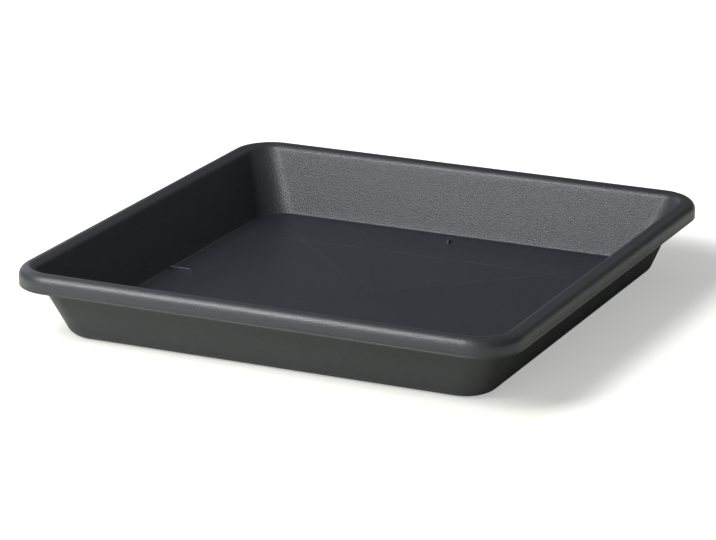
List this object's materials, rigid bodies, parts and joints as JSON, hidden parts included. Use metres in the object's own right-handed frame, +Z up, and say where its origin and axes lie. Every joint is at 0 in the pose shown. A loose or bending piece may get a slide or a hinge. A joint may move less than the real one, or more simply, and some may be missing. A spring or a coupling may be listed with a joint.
{
  "type": "square plant saucer",
  "caption": "Square plastic plant saucer with sloping walls, rounded corners, a rolled rim with a hanging skirt and small stops on the floor that centre a pot.",
  "frame": {"origin": "on the ground, under the middle of the saucer", "axes": "+Z up; +X and +Y square to the walls"},
  "size_m": [0.4, 0.4, 0.056],
  "materials": {
    "anthracite_polypropylene": "fine mould grain, satin"
  },
  "bodies": {
    "root": {"saucer": "anthracite_polypropylene"}
  },
  "joints": []
}
